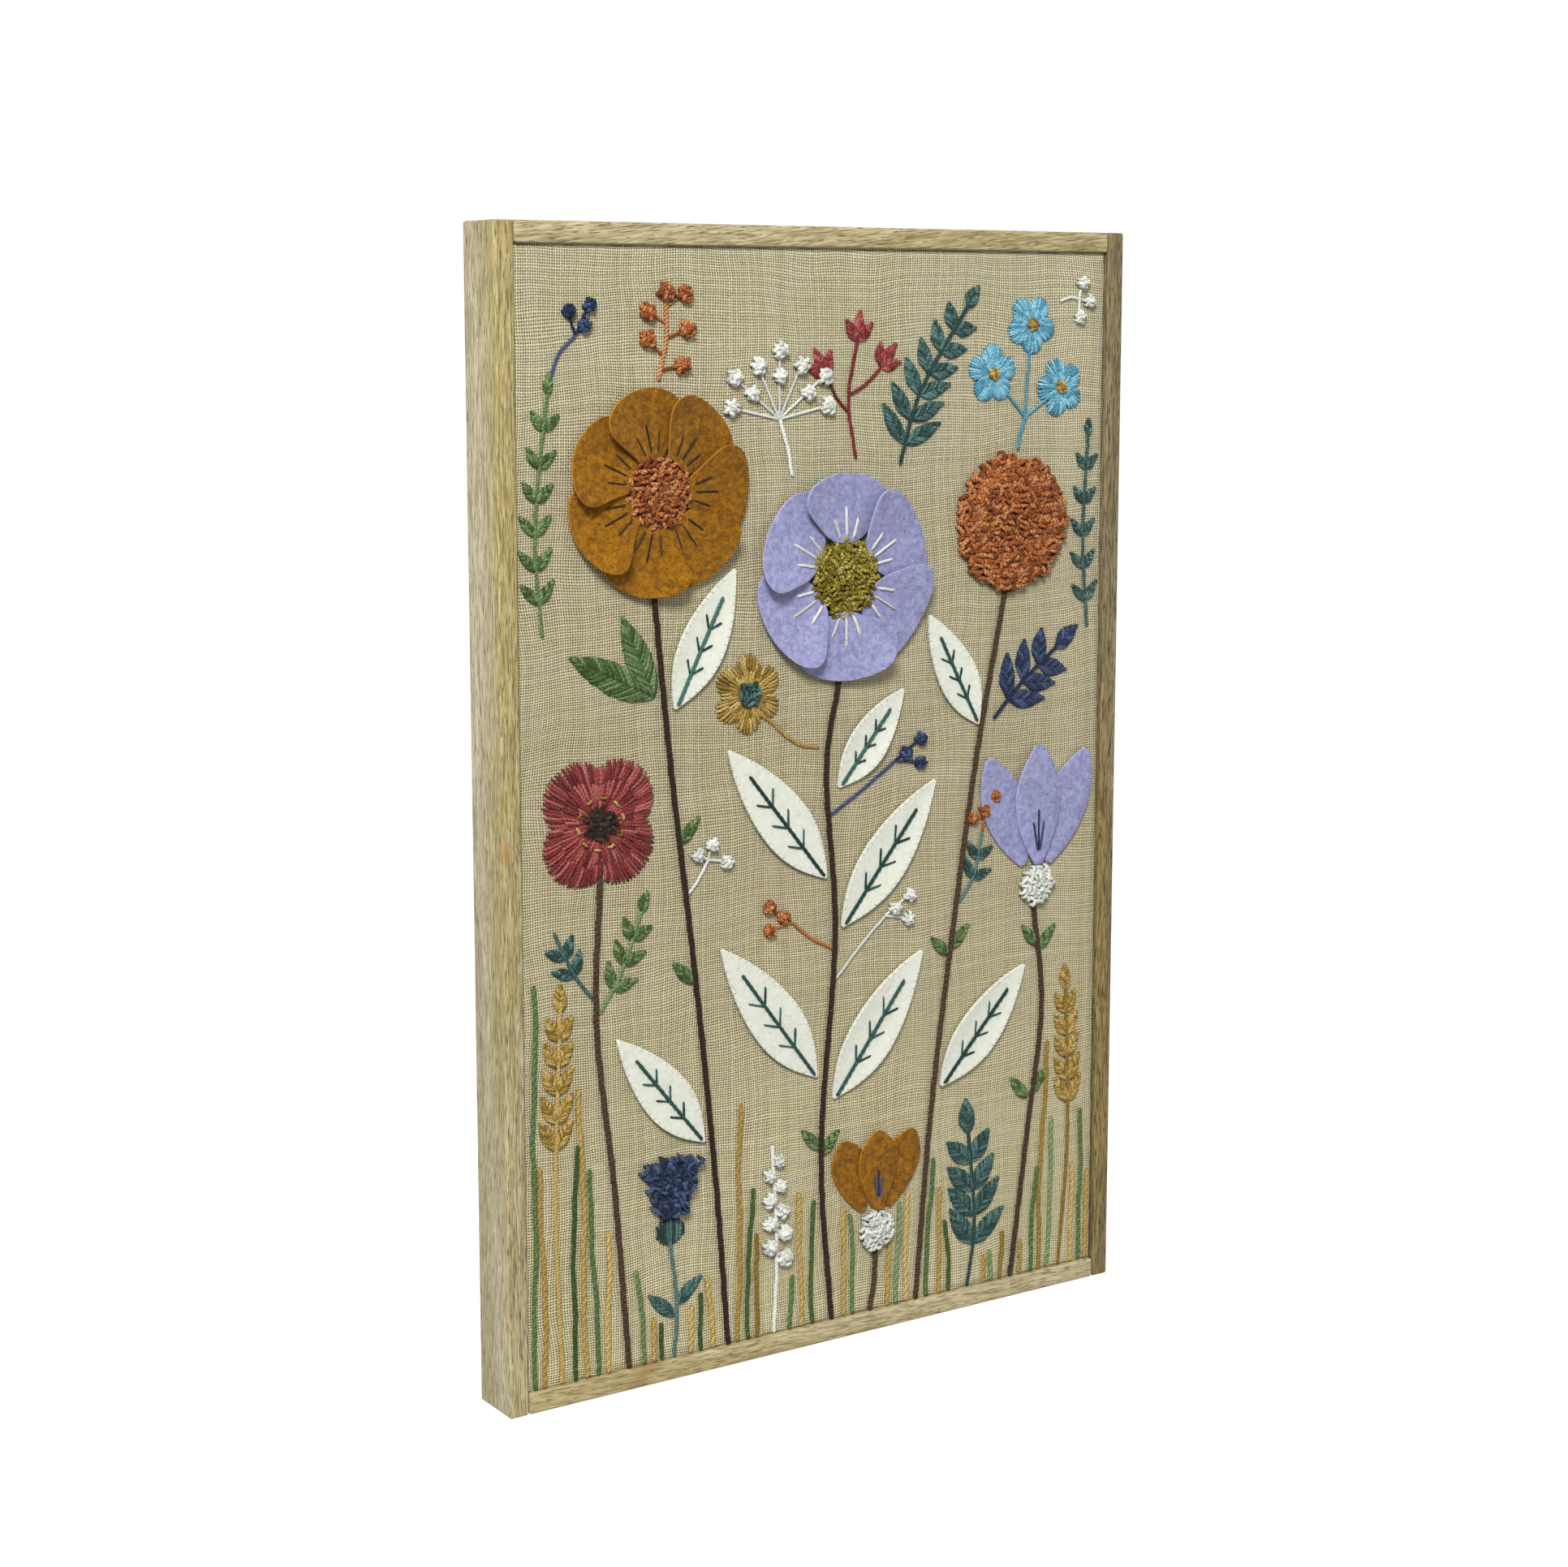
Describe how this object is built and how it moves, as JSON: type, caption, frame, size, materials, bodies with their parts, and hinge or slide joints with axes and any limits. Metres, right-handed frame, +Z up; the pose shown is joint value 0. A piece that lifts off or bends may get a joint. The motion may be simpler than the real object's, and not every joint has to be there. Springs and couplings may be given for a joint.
{
  "type": "embroidered wall hanging in a wooden frame",
  "caption": "Upright wall hanging of felt, loop pile and wool stitching on coarse jute cloth, held in a slim wooden box frame.",
  "frame": {"origin": "where a nail carries the hanging: middle of the top rail's underside, in the plane of the wall", "axes": "+Z up, front faces -Y, +Y into the wall, +X to the viewer's right"},
  "size_m": [0.4, 0.0397, 0.61],
  "materials": {
    "frame_wood": "sanded and thinly oiled, open grain",
    "hessian": "coarse plain weave jute",
    "hardboard": "smooth pressed board",
    "ochre_felt": "matt wool felt",
    "lavender_felt": "matt wool felt",
    "white_felt": "matt wool felt",
    "rust_yarn": "looped wool yarn",
    "olive_yarn": "looped wool yarn",
    "white_yarn": "knotted and looped wool yarn",
    "red_yarn": "flat stitched wool yarn",
    "brown_yarn": "stem stitched wool yarn",
    "teal_yarn": "flat stitched wool yarn",
    "green_yarn": "flat stitched wool yarn",
    "navy_yarn": "stitched and looped wool yarn",
    "blue_yarn": "flat stitched shiny yarn",
    "mustard_yarn": "flat stitched wool yarn"
  },
  "bodies": {
    "root": {"berries": "rust_yarn", "blue_flowers": "blue_yarn", "board": "hardboard", "bud_pad": "white_yarn", "bud_petal_front": "ochre_felt", "bud_petal_left": "ochre_felt", "bud_petal_right": "ochre_felt", "buttercup": "mustard_yarn", "cloth": "hessian", "cosmos_pad": "olive_yarn", "cosmos_petal_1": "lavender_felt", "cosmos_petal_2": "lavender_felt", "cosmos_petal_3": "lavender_felt", "cosmos_petal_4": "lavender_felt", "cosmos_petal_5": "lavender_felt", "cosmos_petal_6": "lavender_felt", "fern": "teal_yarn", "green_leaves": "green_yarn", "leaf_1": "white_felt", "leaf_2": "white_felt", "leaf_3": "white_felt", "leaf_4": "white_felt", "leaf_5": "white_felt", "leaf_6": "white_felt", "leaf_7": "white_felt", "leaf_8": "white_felt", "leaf_9": "white_felt", "marigold": "rust_yarn", "navy_sprig": "navy_yarn", "poppy": "red_yarn", "poppy_pad": "brown_yarn", "rail_bottom": "frame_wood", "rail_top": "frame_wood", "stem_bud": "brown_yarn", "stem_cosmos": "brown_yarn", "stem_marigold": "brown_yarn", "stem_poppy": "brown_yarn", "stem_sunflower": "brown_yarn", "stem_tulip": "brown_yarn", "stile_left": "frame_wood", "stile_right": "frame_wood", "sunflower_pad": "rust_yarn", "sunflower_petal_1": "ochre_felt", "sunflower_petal_2": "ochre_felt", "sunflower_petal_3": "ochre_felt", "sunflower_petal_4": "ochre_felt", "sunflower_petal_5": "ochre_felt", "sunflower_petal_6": "ochre_felt", "sunflower_petal_7": "ochre_felt", "teal_sprig": "teal_yarn", "thistle_cup": "teal_yarn", "thistle_tuft": "navy_yarn", "tulip_pad": "white_yarn", "tulip_petal_front": "lavender_felt", "tulip_petal_left": "lavender_felt", "tulip_petal_right": "lavender_felt", "umbel": "white_yarn", "wheat_left": "mustard_yarn", "wheat_right": "mustard_yarn", "white_spike": "white_yarn"}
  },
  "joints": []
}
